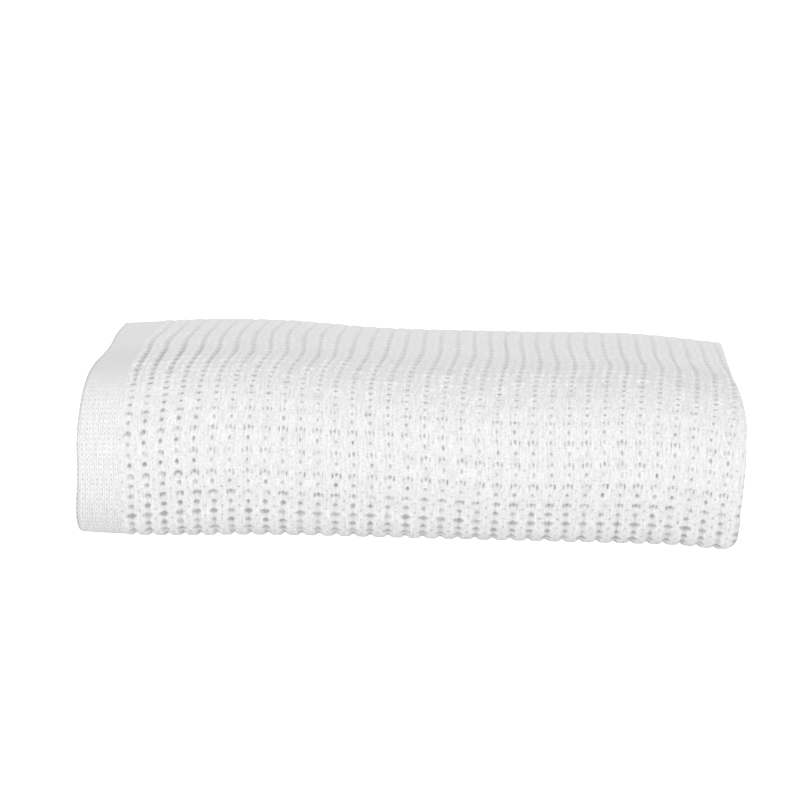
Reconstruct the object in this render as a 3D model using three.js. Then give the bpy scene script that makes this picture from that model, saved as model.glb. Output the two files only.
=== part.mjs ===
import * as THREE from 'three';

// A bed runner of ribbed open-weave cotton, folded into a flat pile. Sizes are in millimetres.
// X runs across the cloth from its border edges to its lengthwise fold, Y from front to back, Z up.

// Folded size before the pile settles.
const width = 350;
const depth = 122;
const height = 89;

// The cloth is folded in half lengthwise, so each layer of the pile is two plies joined at the right.
const plyThickness = 2.7;
const plyGap = 0.4;
const layerThickness = 2 * plyThickness + plyGap;

// Each row is one fold around the front, from the innermost out. lower and upper are the radii of its two
// front bends, at the middle of the layer. back, left and right say how far it lies in from the outline.
const folds = [
  { lower: 3.1, upper: 3.1, back: 3.0, left: 2.5, right: 1.5 },
  { lower: 7.5, upper: 9.4, back: 0.5, left: 1.0, right: 2.0 },
  { lower: 11.0, upper: 15.6, back: 2.0, left: 3.0, right: 0.5 },
  { lower: 13.5, upper: 21.5, back: 0.0, left: 2.5, right: 1.5 },
  { lower: 15.5, upper: 26.5, back: 1.5, left: 2.0, right: 1.0 },
  { lower: 17.5, upper: 31.0, back: 4.0, left: 3.5, right: 0.0 },
  { lower: 19.0, upper: 35.0, back: 3.0, left: 0.0, right: 0.5 },
];
const layerPitch = height / (2 * folds.length);
const turnRadius = layerPitch / 2;
const outermost = folds.length - 1;

// The left edge of the outermost layer strays from the outline: it lies in on the top and spills out near the
// foot. along is the way from the turn at the top of the back, over the top and down the front, to the free
// end underneath.
const edgeSpill = [
  { along: 0, spill: -5 },
  { along: 25, spill: -3.6 },
  { along: 70, spill: -4.8 },
  { along: 85, spill: -3.8 },
  { along: 100, spill: -1.2 },
  { along: 120, spill: -0.4 },
  { along: 150, spill: 0 },
  { along: 180, spill: 2 },
  { along: 205, spill: 2 },
  { along: 300, spill: 1 },
];

// The lengthwise fold of the outermost layer strays in the same way: it spills out at the top of the front and
// lies in near the foot.
const foldSpill = [
  { along: 0, spill: 0 },
  { along: 90, spill: 0 },
  { along: 115, spill: 2 },
  { along: 135, spill: 1.5 },
  { along: 160, spill: 0 },
  { along: 185, spill: -1 },
  { along: 205, spill: -3 },
  { along: 300, spill: -2 },
];

// The pile settles unevenly across its width: it is plumper near the border and falls away at the fold.
const crown = [
  { x: -180, rise: 1.0 },
  { x: -112, rise: 4.6 },
  { x: -75, rise: 4.5 },
  { x: -25, rise: 1.2 },
  { x: 55, rise: 0.2 },
  { x: 130, rise: -0.3 },
  { x: 175, rise: -4.6 },
];
const stationsAcross = crown.slice(1, -1).map((row) => row.x);

// The front leans back above its foremost line and tucks in below it. Both fade out towards the back.
const foremostHeight = 36;
const leanAtTop = 13;
const tuckAtBase = 1;
const fadeStart = -30;
const fadeEnd = 50;

// The foot of the front bulges forward in two places.
const bulges = [
  { x: -145, reach: 5, spread: 50 },
  { x: 168, reach: 4.5, spread: 16 },
];
const bulgeHeight = 52;

// Ribs run along the cloth on the outermost face, from the border to the lengthwise fold.
const firstTrough = 29;
const ribPitch = 9.1;
const troughCount = 35;
const ribHeight = 1.2;
const ribShoulders = [0.3, 0.7];

const frontBendSteps = 5;
const outerBendSteps = 6;
const backTurnSteps = 4;
const foldSteps = 4;

const clamp = THREE.MathUtils.clamp;
const degrees = Math.PI / 180;

// Straight-line lookup of one column of a table against another.
function lookUp(rows, from, to, value) {
  let next = 1;
  while (next < rows.length - 1 && value > rows[next][from]) {
    next += 1;
  }
  const low = rows[next - 1];
  const high = rows[next];
  const share = clamp((value - low[from]) / (high[from] - low[from]), 0, 1);
  return low[to] + share * (high[to] - low[to]);
}

// Moves a point of the evenly folded pile to its place in the settled pile.
function settle(x, y, z) {
  const fade = 1 - THREE.MathUtils.smoothstep(y, fadeStart, fadeEnd);
  let shift = 0;
  if (z > foremostHeight) {
    shift += leanAtTop * ((z - foremostHeight) / (height - foremostHeight)) ** 2;
  } else {
    shift += tuckAtBase * ((foremostHeight - z) / foremostHeight) ** 2;
  }
  const lowness = 1 - THREE.MathUtils.smoothstep(z, 0, bulgeHeight);
  for (const bulge of bulges) {
    shift -= bulge.reach * lowness * Math.exp(-(((x - bulge.x) / bulge.spread) ** 2));
  }
  const rise = lookUp(crown, 'x', 'rise', x);
  return [x, y + fade * shift, z * (1 + rise / height)];
}

// Stations along a bend in the YZ plane. A station holds the middle of the layer there and the way its first
// ply faces. Angles run from +Y towards +Z, and a bend that turns anticlockwise has its first ply inside.
function bend(place, fromAngle, toAngle, steps, layer) {
  const side = Math.sign(fromAngle - toAngle);
  const stations = [];
  for (let i = 0; i <= steps; i += 1) {
    const angle = (fromAngle + ((toAngle - fromAngle) * i) / steps) * degrees;
    stations.push({
      y: place.y + place.radius * Math.cos(angle),
      z: place.z + place.radius * Math.sin(angle),
      faceY: side * Math.cos(angle),
      faceZ: side * Math.sin(angle),
      ...layer,
    });
  }
  return stations;
}

// Where the free end of a layer lies flat, with its first ply facing up or down.
function freeEnd(y, z, faceZ, layer) {
  return { y, z, faceY: 0, faceZ, ...layer };
}

// The whole length of the cloth: fold after fold around the front, joined by turns at the back.
function layPath() {
  const middle = height / 2;
  const front = -depth / 2 + layerThickness / 2;
  const back = depth / 2 - layerThickness / 2 - turnRadius;
  const stations = [freeEnd(back - folds[0].back, middle + turnRadius, -1, { fold: 0 })];
  folds.forEach((fold, k) => {
    const steps = k === outermost ? outerBendSteps : frontBendSteps;
    const nose = front + (outermost - k) * layerPitch;
    const reach = (k + 0.5) * layerPitch;
    const upper = { y: nose + fold.upper, z: middle + reach - fold.upper, radius: fold.upper };
    const lower = { y: nose + fold.lower, z: middle - reach + fold.lower, radius: fold.lower };
    const downward = k % 2 === 0;
    if (downward) {
      stations.push(...bend(upper, 90, 180, steps, { fold: k }));
      stations.push(...bend(lower, 180, 270, steps, { fold: k }));
    } else {
      stations.push(...bend(lower, 270, 180, steps, { fold: k }));
      stations.push(...bend(upper, 180, 90, steps, { fold: k }));
    }
    if (k < outermost) {
      const turnHeight = middle + (downward ? -1 : 1) * (k + 1) * layerPitch;
      const turn = { y: back - fold.back, z: turnHeight, radius: turnRadius };
      const swing = downward ? 90 : -90;
      bend(turn, swing, -swing, backTurnSteps, {}).forEach((station, i) => {
        stations.push({ ...station, fold: k + i / backTurnSteps });
      });
    }
  });
  const end = back - folds[outermost].back;
  stations.push(freeEnd(end, layerThickness / 2, 1, { fold: outermost }));
  return stations;
}

// Marks the ribbed stretch, which ends where the cloth meets the surface below, and measures how far along
// it each station lies.
function markRibbed(stations) {
  const flatOnBase = stations.length - 2;
  let along = 0;
  stations.forEach((station, i) => {
    const onOutside = station.fold > outermost - 1;
    station.ribbed = onOutside && i < flatOnBase;
    if (onOutside) {
      const before = stations[i - 1];
      along += Math.hypot(station.y - before.y, station.z - before.z);
    }
    station.along = along;
  });
}

// Distances of the cloth's edges at a station, eased from one fold to the next around a turn.
function edgesAt(station) {
  const low = Math.floor(station.fold);
  const high = Math.min(low + 1, outermost);
  const share = station.fold - low;
  const left = THREE.MathUtils.lerp(folds[low].left, folds[high].left, share);
  const right = THREE.MathUtils.lerp(folds[low].right, folds[high].right, share);
  const onOutside = clamp(station.fold - outermost + 1, 0, 1);
  const leftSpill = onOutside * lookUp(edgeSpill, 'along', 'spill', station.along);
  const rightSpill = onOutside * lookUp(foldSpill, 'along', 'spill', station.along);
  return {
    left: -width / 2 + left - leftSpill,
    foldCentre: width / 2 - right + rightSpill - layerThickness / 2,
  };
}

// Positions across one ply, from the left edge to where the lengthwise fold starts to turn.
// key orders the points, so that rows with different counts can be joined.
function acrossPlain(edges) {
  const xs = [edges.left, ...stationsAcross, edges.foldCentre];
  return xs.map((x, key) => ({ x, key, sink: 0 }));
}

function acrossRibbed(edges) {
  const plain = acrossPlain(edges);
  const points = [plain[0]];
  for (let i = 0; i < troughCount; i += 1) {
    const trough = -width / 2 + firstTrough + i * ribPitch;
    points.push({ x: trough, sink: ribHeight });
    if (i < troughCount - 1) {
      ribShoulders.forEach((share) => points.push({ x: trough + share * ribPitch, sink: 0 }));
    }
  }
  points.push(plain.at(-1));
  points.forEach((point) => {
    point.key = lookUp(plain, 'x', 'key', point.x);
  });
  return points;
}

// The outer and inner outlines of the doubled layer at a station, each from the first ply's left edge,
// around the lengthwise fold, to the second ply's left edge.
function outlines(station) {
  const edges = edgesAt(station);
  const plain = acrossPlain(edges);
  const last = plain.length - 1;
  const secondPly = station.ribbed ? acrossRibbed(edges) : plain;
  const mirrored = (points, offset) =>
    [...points].reverse().map((point) => ({
      x: point.x,
      offset: -offset + point.sink,
      key: 2 * last + foldSteps - point.key,
    }));
  const around = (radius, steps) => {
    const points = [];
    for (let i = 1; i < steps; i += 1) {
      const angle = (Math.PI * i) / steps;
      points.push({
        x: edges.foldCentre + radius * Math.sin(angle),
        offset: radius * Math.cos(angle),
        key: last + (foldSteps * i) / steps,
      });
    }
    return points;
  };
  const firstPly = (offset) => plain.map((point) => ({ ...point, offset }));
  const outside = layerThickness / 2;
  const inside = plyGap / 2;
  return {
    outer: [...firstPly(outside), ...around(outside, foldSteps), ...mirrored(secondPly, outside)],
    inner: [...firstPly(inside), ...around(inside, 2), ...mirrored(plain, inside)],
  };
}

// Sweeps the doubled layer along the path as one closed body.
function buildCloth() {
  const positions = [];
  const faces = [];

  const place = (station) => (point) => {
    const y = station.y + point.offset * station.faceY;
    const z = station.z + point.offset * station.faceZ;
    positions.push(...settle(point.x, y, z));
    return { key: point.key, vertex: positions.length / 3 - 1 };
  };

  // Joins two rows of points by triangles, stepping along whichever row lags behind.
  const join = (a, b, flip) => {
    const triangle = (p, q, r) => faces.push(...(flip ? [p, r, q] : [p, q, r]));
    let i = 0;
    let j = 0;
    while (i < a.length - 1 || j < b.length - 1) {
      const nextA = i < a.length - 1 ? a[i + 1].key : Infinity;
      const nextB = j < b.length - 1 ? b[j + 1].key : Infinity;
      if (nextA <= nextB) {
        triangle(a[i].vertex, a[i + 1].vertex, b[j].vertex);
        i += 1;
      }
      if (nextB <= nextA) {
        triangle(a[i].vertex, b[j + 1].vertex, b[j].vertex);
        j += 1;
      }
    }
  };

  const stations = layPath();
  markRibbed(stations);
  const rings = stations.map((station) => {
    const { outer, inner } = outlines(station);
    return { outer: outer.map(place(station)), inner: inner.map(place(station)) };
  });

  // The edge of one ply at a ring, from the outer outline to the inner one.
  const plyEdge = (ring, end) => [
    { key: 0, vertex: ring.outer.at(end).vertex },
    { key: 1, vertex: ring.inner.at(end).vertex },
  ];
  rings.slice(1).forEach((ring, i) => {
    const before = rings[i];
    join(before.outer, ring.outer, false);
    join(before.inner, ring.inner, true);
    join(plyEdge(before, 0), plyEdge(ring, 0), true);
    join(plyEdge(before, -1), plyEdge(ring, -1), false);
  });
  join(rings[0].outer, rings[0].inner, true);
  join(rings.at(-1).outer, rings.at(-1).inner, false);

  const geometry = new THREE.BufferGeometry();
  geometry.setAttribute('position', new THREE.Float32BufferAttribute(positions, 3));
  geometry.setIndex(faces);
  geometry.computeVertexNormals();

  // The origin is the middle of the base.
  geometry.computeBoundingBox();
  const box = geometry.boundingBox;
  geometry.translate(-(box.min.x + box.max.x) / 2, -(box.min.y + box.max.y) / 2, -box.min.z);
  return geometry;
}

const cotton = new THREE.MeshStandardMaterial({ color: 0xf2f1ee, roughness: 0.95, metalness: 0 });

const runner = new THREE.Mesh(buildCloth(), cotton);
runner.name = 'runner_cloth';

const group = new THREE.Group();
group.name = 'folded_bed_runner';
group.add(runner);

export default group;
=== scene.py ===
"""A bed runner of white ribbed cellular cotton, folded into a flat pile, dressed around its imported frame.

The cloth is one piece, folded in half lengthwise into a doubled layer of two plies, and that layer is folded
to and fro around the front. Every point of the cloth has three cloth coordinates, in metres:
across is the way from the lengthwise fold, below zero on the first ply and above zero on the second,
along is the way from the end inside the pile, at the middle of the doubled layer, and
lift is the height above the middle of the ply, towards its outer face.
Cloth.place turns these three into a place in the settled pile, and each piece is a stretch of the cloth.
"""

from collections import namedtuple

import bpy
import numpy as np
from mathutils import Euler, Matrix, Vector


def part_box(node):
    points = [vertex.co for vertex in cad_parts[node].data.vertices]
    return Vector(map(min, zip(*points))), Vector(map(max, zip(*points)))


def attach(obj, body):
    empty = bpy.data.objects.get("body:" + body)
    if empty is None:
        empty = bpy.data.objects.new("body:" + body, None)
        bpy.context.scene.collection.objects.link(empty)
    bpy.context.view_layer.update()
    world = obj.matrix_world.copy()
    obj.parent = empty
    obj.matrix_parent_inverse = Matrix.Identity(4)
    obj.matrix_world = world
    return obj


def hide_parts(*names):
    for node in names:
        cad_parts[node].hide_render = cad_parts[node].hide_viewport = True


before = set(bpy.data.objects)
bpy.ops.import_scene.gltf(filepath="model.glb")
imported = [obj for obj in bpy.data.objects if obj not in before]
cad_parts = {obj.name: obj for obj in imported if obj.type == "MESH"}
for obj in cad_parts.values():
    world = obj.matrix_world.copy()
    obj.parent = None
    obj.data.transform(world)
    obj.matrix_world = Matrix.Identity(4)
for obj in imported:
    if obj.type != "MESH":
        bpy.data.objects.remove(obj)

bl_info = {
    "name": "Folded bed runner",
    "version": (1, 0, 0),
    "blender": (4, 5, 0),
    "location": "View3D > Sidebar > Bed runner",
    "description": "Builds a folded cellular cotton bed runner around its frame",
    "category": "Add Mesh",
}

MM = 0.001
CLOTH_NODE = "runner_cloth"
CAD_LOW, CAD_HIGH = (np.array(corner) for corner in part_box(CLOTH_NODE))

# Each row is one fold around the front, from the innermost out. lower and upper are the radii of its two
# front bends at the middle of the layer. back, left and right say how far it lies in from the outline.
Fold = namedtuple("Fold", "lower upper back left right")
FOLDS = [
    Fold(3.1, 3.1, 3.0, 2.5, 1.5),
    Fold(7.5, 9.4, 0.5, 1.0, 2.0),
    Fold(11.0, 15.6, 2.0, 3.0, 0.5),
    Fold(13.5, 21.5, 0.0, 2.5, 1.5),
    Fold(15.5, 26.5, 1.5, 2.0, 1.0),
    Fold(17.5, 31.0, 4.0, 3.5, 0.0),
    Fold(19.0, 35.0, 3.0, 0.0, 0.5),
]
OUTERMOST = len(FOLDS) - 1

# The left edge of the outermost layer strays from the outline: it lies in on the top and spills out near the
# foot. along is the way from the turn at the top of the back, over the top and down the front, to the free
# end underneath.
Spill = namedtuple("Spill", "along spill")
EDGE_SPILL = [
    Spill(0, -5), Spill(25, -3.6), Spill(70, -4.8), Spill(85, -3.8), Spill(100, -1.2), Spill(120, -0.4),
    Spill(150, 0), Spill(180, 2), Spill(205, 2), Spill(300, 1),
]

# The lengthwise fold of the outermost layer strays in the same way: it spills out at the top of the front and
# lies in near the foot.
FOLD_SPILL = [
    Spill(0, 0), Spill(90, 0), Spill(115, 2), Spill(135, 1.5), Spill(160, 0), Spill(185, -1),
    Spill(205, -3), Spill(300, -2),
]

# Where the outermost layer was drawn along towards its lengthwise fold, the ribs slid with it. outer is the
# way from the turn at the top of the back, and each value belongs to one distance from the border.
SLIDE_BORDERS = [0, 29, 56, 102, 147, 202, 247, 302, 350]
Slide = namedtuple("Slide", "outer values")
SLIDES = [
    Slide(8, [0, 0.6, 2.2, 4.0, 3.5, 4.9, 5.5, 6.5, 7.0]),
    Slide(28, [0, -0.7, 0.2, -0.1, 2.1, 5.3, 4.2, 7.2, 8.0]),
    Slide(55, [0, -4.9, -2.4, -0.3, 1.1, 6.0, 5.2, 7.2, 8.8]),
    Slide(80, [0, -3.2, -1.0, 1.8, 0.0, 4.1, 6.3, 8.6, 10.0]),
    Slide(105, [0, -1.9, -2.1, -1.8, -2.9, 1.0, 2.6, 4.0, 7.8]),
    Slide(120, [0, -1.9, -2.2, -1.4, -2.4, -0.2, 1.0, 1.7, 3.0]),
    Slide(138, [0, -1.3, -2.8, -1.6, -0.4, 1.4, 2.4, 2.2, 1.8]),
    Slide(166, [0, 1.1, -0.1, -0.5, 0.3, 1.8, 3.1, 2.5, 0.8]),
    Slide(215, [0, 1.1, 0.0, -0.4, 0.3, 1.7, 2.9, 2.5, 0.8]),
]
SLIDE_START = -30 * MM
FIRST_PLY_SLIDE = 150 * MM

# The pile settles unevenly across its width: it is plumper near the border and falls away at the fold.
Crown = namedtuple("Crown", "x rise")
CROWN = [
    Crown(-180, 1.0), Crown(-112, 4.6), Crown(-75, 4.5), Crown(-25, 1.2), Crown(55, 0.2),
    Crown(130, -0.3), Crown(175, -4.6),
]

# The front leans back above its foremost line and tucks in below it. Both fade out towards the back.
FOREMOST_HEIGHT = 36 * MM
LEAN_AT_TOP = 13 * MM
TUCK_AT_BASE = 1 * MM
FADE_START = -30 * MM
FADE_END = 50 * MM

# The foot of the front bulges forward in two places.
Bulge = namedtuple("Bulge", "x reach spread")
BULGES = [Bulge(-145, 5, 50), Bulge(168, 4.5, 16)]
BULGE_HEIGHT = 52 * MM

# How the weave hangs on the outermost face. outer is the way from the turn at the top of the back, here and
# below. hole and slit say how strong the holes and the slits beside them are, as pits and as painted shade,
# line how strong the painted shade along the troughs is, and loop how strong the loops of thread round the
# holes are, which stand out and are painted lighter, as highlights. width and length are the size of a hole,
# and gape says how far it is pulled open. relief says how far the ribs stand out, and threads how far the
# single threads of the yarn stand out. yarn is the plain yarn's tone, painted darker or lighter down the face
# as light falls on it: darkest over the shoulder between the top and the front, lightest at the foot. The
# faces inside the pile and at its back have INNER_HANG instead.
Hang = namedtuple("Hang", "outer hole width length slit loop line gape relief yarn threads")
HANGS = [
    Hang(-8, 0.00, 3.0, 2.6, 0.00, 0.0, 0.05, 0.0, 0.15, 0.29, 0.4),
    Hang(10, 0.06, 3.0, 2.6, 0.00, 0.1, 0.12, 0.0, 0.30, 0.29, 0.4),
    Hang(30, 0.12, 3.0, 2.6, 0.00, 0.2, 0.20, 0.0, 0.80, 0.31, 0.4),
    Hang(60, 0.17, 3.2, 2.4, 0.00, 0.3, 0.26, 0.0, 0.90, 0.32, 0.4),
    Hang(82, 0.22, 3.4, 2.0, 0.00, 0.35, 0.28, 0.0, 0.90, 0.39, 0.5),
    Hang(94, 0.33, 3.4, 1.5, 0.05, 0.6, 0.21, 0.0, 0.80, 0.42, 0.6),
    Hang(104, 0.39, 3.2, 1.3, 0.15, 0.7, 0.09, 0.0, 0.70, 0.34, 0.8),
    Hang(110, 0.42, 2.5, 1.4, 0.30, 0.65, 0.05, 0.0, 0.65, 0.28, 0.9),
    Hang(116, 0.40, 1.6, 1.8, 0.36, 0.5, 0.04, 0.0, 0.65, 0.22, 1.0),
    Hang(124, 0.42, 1.3, 2.1, 0.42, 0.6, 0.04, 0.0, 0.70, 0.20, 1.0),
    Hang(146, 0.44, 1.3, 2.1, 0.46, 0.6, 0.04, 0.0, 0.70, 0.20, 1.0),
    Hang(154, 0.48, 1.8, 2.0, 0.72, 0.5, 0.05, 0.0, 0.80, 0.22, 1.0),
    Hang(162, 0.58, 2.4, 2.1, 0.90, 0.4, 0.10, 0.4, 0.90, 0.28, 1.0),
    Hang(170, 0.64, 3.8, 3.0, 0.90, 0.3, 0.20, 0.9, 1.00, 0.30, 1.0),
    Hang(182, 0.60, 4.0, 3.4, 0.80, 0.2, 0.30, 1.0, 1.10, 0.25, 1.0),
    Hang(190, 0.25, 3.4, 2.6, 0.20, 0.1, 0.40, 1.0, 1.20, 0.15, 1.0),
    Hang(200, 0.20, 2.6, 2.2, 0.10, 0.0, 0.40, 1.0, 1.20, 0.12, 1.0),
]
INNER_HANG = Hang(None, 0.7, 1.4, 2.2, 0.5, 0.6, 0.1, 0.0, 1.0, 0.25, 1.0)

# The open ground of a trough, to both sides of its holes, is painted darker than the ribs by this shade.
TroughShade = namedtuple("TroughShade", "outer shade")
TROUGH_SHADES = [
    TroughShade(88, 0), TroughShade(98, 0.06), TroughShade(112, 0.07), TroughShade(124, 0.08), TroughShade(150, 0.08),
    TroughShade(168, 0),
]
TROUGH_SHADE_WIDTH = 5.2 * MM

# Over the shoulder between the top and the front the rows gather. gather is how far they have moved down.
Gather = namedtuple("Gather", "outer gather")
GATHERS = [
    Gather(80, 17.0), Gather(90, 16.0), Gather(96, 13.8), Gather(99, 12.0), Gather(102, 9.8),
    Gather(105, 7.4), Gather(108, 5.4), Gather(111, 3.9), Gather(114.5, 2.5), Gather(118, 1.4),
    Gather(122, 0.4), Gather(127, 0.0),
]

# The rows of holes wave across the ribs. values say how much further down the cloth the rows lie, at these
# ways from the border edge.
ROW_DRIFT_BORDERS = [0, 29, 56, 84, 111, 138, 165, 184, 202, 220, 238, 256, 284, 311, 330, 350]
RowDrift = namedtuple("RowDrift", "outer values")
ROW_DRIFTS = [
    RowDrift(130, [5.3, 4.6, 2.1, 0.7, 0.5, 0.2, 0.1, 0.7, 1.7, 2.7, 2.9, 2.8, 1.6, 1.6, 2.9, 4.3]),
    RowDrift(146, [5.0, 4.3, 1.8, 0.5, 0.5, 0.4, 0.4, 1.0, 2.1, 3.1, 3.2, 2.8, 1.7, 1.9, 3.3, 5.0]),
    RowDrift(157, [4.5, 3.8, 1.4, 0.1, 0.5, 0.6, 0.7, 1.2, 2.2, 3.1, 3.1, 2.7, 1.9, 2.1, 3.4, 4.7]),
    RowDrift(166, [4.0, 3.3, 0.8, -0.4, 0.1, 0.4, 0.4, 0.9, 1.9, 2.6, 2.7, 2.4, 1.8, 2.1, 3.2, 4.2]),
    RowDrift(176, [3.4, 2.7, 0.0, -1.3, -0.4, -0.1, 0.0, 0.6, 1.5, 2.3, 2.4, 2.2, 1.6, 2.1, 3.2, 4.2]),
]

# A trough between two ribs: its flanks rise between these ways from its middle, and a fine line of painted
# shade runs along it. The ribs are domed by RIB_DOME. No hole goes deeper than MOST_SINK below their crests.
FLANK_START = 0.1 * MM
FLANK_STOP = 2.7 * MM
LINE_WIDTH = 2.5 * MM
RIB_DOME = 0.12 * MM
MOST_SINK = 2.4 * MM

# The slits to both sides of every second hole lie a little lower than the hole.
SLIT_SIDE = 2.05 * MM
SLIT_DROP = 0.6 * MM
SLIT_WIDTH = 0.85 * MM
SLIT_LENGTH = 2.9 * MM

# The loop of thread round a hole runs outside it by LOOP_SIDE and LOOP_END, and a little lower. It stands out
# by LOOP_LIFT, hides a share of the painted shade under it, and is painted lighter than the plain yarn, as a
# highlight.
LOOP_SIDE = 0.65 * MM
LOOP_END = 1.2 * MM
LOOP_DROP = 0.3 * MM
LOOP_BREADTH = 0.75
LOOP_LIFT = 0.45 * MM
LOOP_COVER = 0.4

# The dimples on the crests of the ribs, between two rows: small pits, with painted shade in them.
DIMPLE_SIZE = 1.1 * MM
DIMPLE_DEPTH = 0.35 * MM
DIMPLE_SHADE = 0.6

# No two cells of the weave are quite alike. Sizes vary by UNEVENNESS, and shades by so many times as much.
# The table of cells has some troughs and rows to spare.
WEAVE_SEED = 7
UNEVENNESS = 0.12
UNEVEN_HOLES = 2
UNEVEN_SLITS = 3
UNEVEN_LOOPS = 2.5
UNEVEN_DIMPLES = 3
SPARE_TROUGHS = 4
SPARE_ROWS = 40

# Where gape is 1, a hole climbs so far up the flanks of its trough and nears a lozenge. By these shares it
# widens in a row with slits and becomes shallower, and the slits close in on it and fade.
GAPE_BOW = 0.9 * MM
GAPE_LOZENGE = 0.8
GAPE_WIDENS = 0.5
GAPE_SHALLOW = 0.75
GAPE_CLOSES = 0.3
GAPE_FADES = 0.8

# Beside the band the holes are wider by a length, and longer and darker by shares: deeper pits with more
# painted shade. Gape takes NEAR_BAND_GAPED of the darkness back. The slits are closer and wider. All this
# fades out between two ways from the border.
NEAR_BAND_START = 42 * MM
NEAR_BAND_END = 90 * MM
NEAR_BAND_WIDTH = 0.9 * MM
NEAR_BAND_LENGTH = 0.15
NEAR_BAND_HOLE = 0.4
NEAR_BAND_GAPED = 0.7
NEAR_BAND_SLIT_SIDE = 0.2
NEAR_BAND_SLIT_WIDTH = 0.6

# The lines of painted shade in the troughs get darker there by this share, most of all at LINE_DARK_AT down
# the outer ply.
NEAR_BAND_LINE = 1.4
LINE_DARK_AT = 94 * MM
LINE_DARK_REACH = 60 * MM

# The flat knitted band lies below the crests of the ribs. Its threads stand out less than those of the ribs.
BAND_SINK = 0.5 * MM
BAND_BLEND = 1.2 * MM
RIBBED_THREADS = 1.2

# On the top the band is plainer, and a little darker in painted shade, until it turns down the front.
BAND_PLAIN_START = 98 * MM
BAND_PLAIN_END = 118 * MM
BAND_PLAIN_SHADE = 0.05
BAND_PLAIN = 0.6

# Where the outer ply turns under, between these ways down it, the band is drawn in and takes this painted
# shade.
FOOT_START = 160 * MM
FOOT_END = 174 * MM
FOOT_SHADE = 0.08

# The border edge and the lengthwise fold roll away from the light and are painted darker, as shade. The
# rounded edge keeps this share of the ply's thickness. Plain yarn has YARN_SHADE, its own tone.
EDGE_SHADE = 0.38
EDGE_ROLL = 2.8 * MM
EDGE_KEPT = 0.3
YARN_SHADE = 0.25


def amount(name, description, default, **settings):
    """A number for the panel."""
    return bpy.props.FloatProperty(name=name, description=description, default=default, **settings)


def millimetres(name, description, default):
    """A length for the panel, with its default in millimetres."""
    return amount(name, description, default * MM, unit="LENGTH")


def degrees(name, description, default):
    """An angle for the panel, with its default in degrees."""
    return amount(name, description, np.radians(default), unit="ROTATION", subtype="ANGLE")


def hex_colour(name, description, default):
    """A colour for the panel, as an sRGB hex value."""
    return bpy.props.StringProperty(name=name, description=f"sRGB hex value {description}", default=default)


class RunnerPile(bpy.types.PropertyGroup):
    """Sizes of the folded pile, before it settles."""

    width: millimetres("Width", "From the border edges to the lengthwise fold", 350)
    depth: millimetres("Depth", "From the front of the pile to its back", 122)
    height: millimetres("Height", "Of all the layers", 89)
    ply_thickness: millimetres("Ply thickness", "Of the cloth over its ribs", 2.7)
    ply_gap: millimetres("Ply gap", "Between the two plies of a doubled layer", 0.4)
    cloth_width: millimetres("Cloth width", "Of the flat cloth, from border to border", 700)
    cloth_length: millimetres("Cloth length", "Of the flat cloth, as it was cut", 1500)


class RunnerWeave(bpy.types.PropertyGroup):
    """Sizes of the ribs, rows and holes of the weave."""

    rib_pitch: millimetres("Rib pitch", "From one trough between ribs to the next", 9.1)
    row_pitch: millimetres("Row pitch", "From one row of holes to the next", 5.67)
    rib_height: millimetres("Rib height", "From the floor of a trough to the crest of a rib", 1.1)
    first_trough: millimetres("First trough", "From the border edge to the first trough", 29)
    band_width: millimetres("Band width", "Of the flat knitted band along each border", 23)
    hole_depth: millimetres("Hole depth", "Below the floor of the trough", 1.3)


class RunnerFinish(bpy.types.PropertyGroup):
    """Colour and feel of the cotton."""

    cotton_colour: hex_colour("Cotton colour", "of the bleached yarn", "fafafa")
    # The colour that painted shade goes towards, in the holes, the troughs and at the rolled edges. The plain
    # yarn's tone takes a share of it too.
    painted_shade_colour: hex_colour("Hollow colour", "deep in the holes, between the plies", "b0b0b0")
    roughness: amount("Roughness", "Of the brushed yarn", 0.92, min=0, max=1, subtype="FACTOR")


class RunnerStage(bpy.types.PropertyGroup):
    """Floor, light and camera."""

    floor_colour: hex_colour("Floor colour", "of the light table's frosted top", "f2f2f2")
    floor_glow: amount("Floor glow", "Light that the table gives through its top", 0.08)
    room_light: amount("Room light", "Strength of the even light from all round", 0.87)
    front_light: amount("Front light", "Power of the large soft light behind the camera, in watts", 5.6)
    camera_place: bpy.props.FloatVectorProperty(
        name="Camera place",
        description="Where the lens stands",
        default=(44.7 * MM, -854.2 * MM, 374.3 * MM),
        unit="LENGTH",
        subtype="TRANSLATION",
    )
    camera_elevation: degrees("Camera elevation", "How far the camera looks down", 19.9)
    camera_turn: degrees("Camera turn", "How far the camera turns to the left", 3.45)
    lens: amount("Lens", "Focal length on a 36 mm sensor, in millimetres", 74.25)


# Curves and steps


def smoothstep(at, start, stop):
    """Rises from 0 at start to 1 at stop, level at both."""
    share = np.clip((at - start) / (stop - start), 0, 1)
    return share * share * (3 - 2 * share)


def smooth_curve(places, values, at):
    """Cubic pieces through the values, where each slope is a weighted mean of the chords on both sides."""
    places = np.asarray(places, float)
    values = np.asarray(values, float)
    slopes = np.gradient(values, places)
    low = np.clip(np.searchsorted(places, at) - 1, 0, len(places) - 2)
    span = places[low + 1] - places[low]
    share = np.clip((at - places[low]) / span, 0, 1)
    rise = share * share * (3 - 2 * share)
    start_bow = share * (1 - share) ** 2 * span * slopes[low]
    stop_bow = share * share * (share - 1) * span * slopes[low + 1]
    return values[low] * (1 - rise) + values[low + 1] * rise + start_bow + stop_bow


def shift_table(borders, rows, border, outer):
    """A smooth surface through a table of shifts: a curve by border for each row, blended by outer."""
    shift = 0
    for number, row in enumerate(rows):
        only_this = np.arange(len(rows)) == number
        curve = smooth_curve(np.array(borders) * MM, np.array(row.values) * MM, border)
        shift = shift + curve * smooth_curve(column(rows, "outer"), only_this, outer)
    return shift


def column(rows, name):
    """One column of a short table of named rows, in metres."""
    return np.array([getattr(row, name) for row in rows]) * MM


# The folded path


Path = namedtuple("Path", "along y z face_y face_z turned fold turns")
ARC_STEPS = 45
FIT_COLUMNS = 141


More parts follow.
